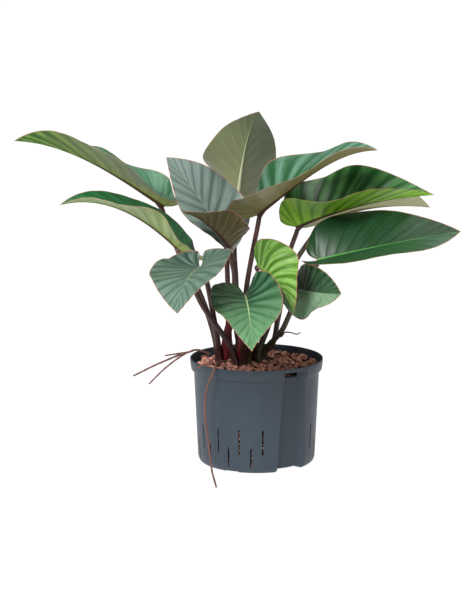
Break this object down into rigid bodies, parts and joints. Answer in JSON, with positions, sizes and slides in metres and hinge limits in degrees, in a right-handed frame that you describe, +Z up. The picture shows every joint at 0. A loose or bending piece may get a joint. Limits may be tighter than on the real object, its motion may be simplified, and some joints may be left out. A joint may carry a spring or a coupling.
{
  "type": "potted self-heading red-stalked philodendron",
  "caption": "Self-heading philodendron with long glossy heart-shaped leaves on maroon stalks, red bud sheaths and aerial roots, in a slate-blue hydroculture pot of fired clay granules.",
  "frame": {"origin": "centre of the pot's flat middle foot, on the surface it stands on", "axes": "+Z up, -Y towards the front of the plant, +X to the plant's right as seen from the front"},
  "size_m": [0.788, 0.5514, 0.6299],
  "materials": {
    "pot_blue_grey": "satin moulded",
    "fired_clay": "rough, unglazed",
    "crown_brown": "rough",
    "leaf_green": "glossy leaf",
    "young_leaf_green": "glossy leaf",
    "stalk_maroon": "satin stem",
    "sheath_red": "satin stem",
    "sheath_dried_brown": "dry, matt",
    "root_brown": "matt"
  },
  "bodies": {
    "root": {"pot": "pot_blue_grey", "clay_bed": "fired_clay", "crown_left": "crown_brown", "crown_front": "crown_brown", "crown_right": "crown_brown", "leaf_upper_left": "leaf_green", "leaf_lower_left": "leaf_green", "leaf_inner_left": "leaf_green", "leaf_small_left": "leaf_green", "leaf_top": "leaf_green", "leaf_upper_right": "leaf_green", "leaf_middle_right": "leaf_green", "leaf_back_right": "leaf_green", "leaf_lower_right": "leaf_green", "leaf_small_right": "leaf_green", "leaf_young": "young_leaf_green", "leaf_front": "leaf_green", "leaf_front_left": "leaf_green", "stalk_upper_left": "stalk_maroon", "stalk_lower_left": "stalk_maroon", "stalk_inner_left": "stalk_maroon", "stalk_small_left": "stalk_maroon", "stalk_top": "stalk_maroon", "stalk_upper_right": "stalk_maroon", "stalk_middle_right": "stalk_maroon", "stalk_back_right": "stalk_maroon", "stalk_lower_right": "stalk_maroon", "stalk_small_right": "stalk_maroon", "stalk_young": "stalk_maroon", "stalk_front": "stalk_maroon", "stalk_front_left": "stalk_maroon", "sheath_left": "sheath_red", "sheath_front": "sheath_red", "sheath_right": "sheath_red", "sheath_dried": "sheath_dried_brown", "root_hanging": "root_brown", "root_side": "root_brown", "root_rim": "root_brown"}
  },
  "joints": []
}
